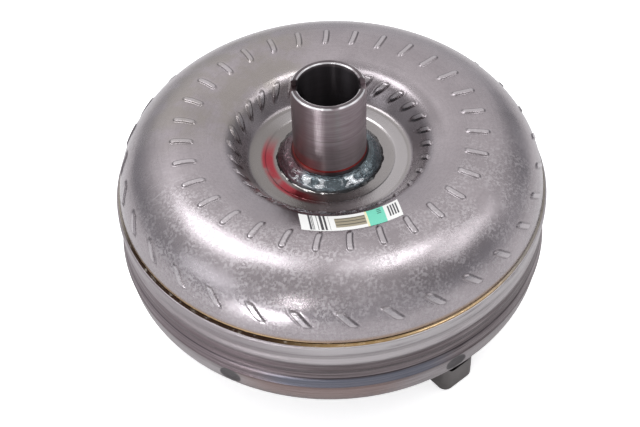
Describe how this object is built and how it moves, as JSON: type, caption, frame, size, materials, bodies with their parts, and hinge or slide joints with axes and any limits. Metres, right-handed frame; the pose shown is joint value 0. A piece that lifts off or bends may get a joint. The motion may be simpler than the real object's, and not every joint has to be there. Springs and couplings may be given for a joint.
{
  "type": "torque converter",
  "caption": "Lock-up torque converter: welded torus shell with vane dimples, notched pump hub, ribbed cover, crank pilot and drive lugs; turbine, stator, damper and piston inside.",
  "frame": {"origin": "on the converter's axis, in the plane of the three lug faces that bolt to the flexplate", "axes": "+Z along the axis from the engine side to the transmission side; one lug lies 69 degrees from +X towards +Y"},
  "size_m": [0.287, 0.2872, 0.1797],
  "materials": {
    "shell_steel": "formed mill steel with heat and press marks",
    "hub_steel": "turned",
    "weld_metal": "glassy weld scale",
    "cover_steel": "drawn steel with circumferential streaks",
    "lug_steel": "dark pressed steel",
    "nut_steel": "dark",
    "label_paper": "printed paper",
    "blade_steel": "pressed sheet",
    "turbine_steel": "pressed sheet",
    "plate_steel": "ground plate",
    "spring_steel": "oil tempered",
    "rivet_steel": "headed",
    "piston_steel": "pressed plate",
    "lining": "paper friction lining",
    "stator_alloy": "die cast",
    "race_steel": "ground and polished",
    "seal": "sealing ring"
  },
  "bodies": {
    "housing": {"impeller_shell": "shell_steel", "pump_hub": "hub_steel", "hub_weld": "weld_metal", "impeller_blades": "blade_steel", "impeller_core_ring": "blade_steel", "front_cover": "cover_steel", "seam_weld": "weld_metal", "crank_pilot": "hub_steel", "pilot_weld": "weld_metal", "mounting_lugs": "lug_steel", "lug_nuts": "nut_steel", "part_label": "label_paper", "cover_side_race": "race_steel", "pump_side_race": "race_steel"},
    "turbine": {"turbine_shell": "turbine_steel", "turbine_blades": "turbine_steel", "turbine_core_ring": "turbine_steel", "turbine_hub": "hub_steel", "turbine_rivets": "rivet_steel", "damper_driven_plate": "plate_steel", "driven_plate_rivets": "rivet_steel", "piston_seal_ring": "seal", "turbine_front_race": "race_steel", "turbine_rear_race": "race_steel"},
    "damper": {"damper_front_retainer": "plate_steel", "damper_rear_retainer": "plate_steel", "damper_rivets": "rivet_steel", "damper_springs": "spring_steel"},
    "lockup_piston": {"lockup_piston": "piston_steel", "friction_lining": "lining"},
    "stator": {"stator_wheel": "stator_alloy", "clutch_outer_race": "race_steel", "clutch_rollers": "race_steel", "clutch_springs": "spring_steel", "clutch_front_cap": "stator_alloy", "clutch_rear_cap": "stator_alloy", "clutch_snap_ring": "spring_steel", "stator_front_race": "race_steel", "stator_rear_race": "race_steel"},
    "stator_inner_race": {"stator_race": "race_steel"},
    "cover_bearing": {"cover_bearing_cage": "race_steel", "cover_bearing_needles": "race_steel"},
    "stator_bearing": {"stator_bearing_cage": "race_steel", "stator_bearing_needles": "race_steel"},
    "pump_bearing": {"pump_bearing_cage": "race_steel", "pump_bearing_needles": "race_steel"}
  },
  "joints": [
    {"name": "turbine_spin", "type": "hinge", "parent": "housing", "child": "turbine", "pos_m": [0, 0, 0.09], "axis": [0, 0, 1], "continuous": true},
    {"name": "damper_twist", "type": "hinge", "parent": "turbine", "child": "damper", "pos_m": [0, 0, 0.09], "axis": [0, 0, 1], "range_deg": [-7, 7], "stiffness_Nm_per_rad": 60, "deforming": ["damper_springs"]},
    {"name": "lockup_slide", "type": "slide", "parent": "damper", "child": "lockup_piston", "axis": [0, 0, 1], "range_m": [0, 0.0012]},
    {"name": "stator_spin", "type": "hinge", "parent": "housing", "child": "stator", "pos_m": [0, 0, 0.09], "axis": [0, 0, 1], "continuous": true},
    {"name": "one_way_clutch", "type": "hinge", "parent": "stator", "child": "stator_inner_race", "pos_m": [0, 0, 0.09], "axis": [0, 0, 1], "continuous": true},
    {"name": "cover_bearing_spin", "type": "hinge", "parent": "housing", "child": "cover_bearing", "pos_m": [0, 0, 0.09], "axis": [0, 0, 1], "continuous": true},
    {"name": "stator_bearing_spin", "type": "hinge", "parent": "turbine", "child": "stator_bearing", "pos_m": [0, 0, 0.09], "axis": [0, 0, 1], "continuous": true},
    {"name": "pump_bearing_spin", "type": "hinge", "parent": "housing", "child": "pump_bearing", "pos_m": [0, 0, 0.09], "axis": [0, 0, 1], "continuous": true}
  ],
  "couplings": [
    {"joint": "cover_bearing_spin", "follows": "turbine_spin", "ratio": 0.5},
    {"joint": "pump_bearing_spin", "follows": "stator_spin", "ratio": 0.5}
  ]
}
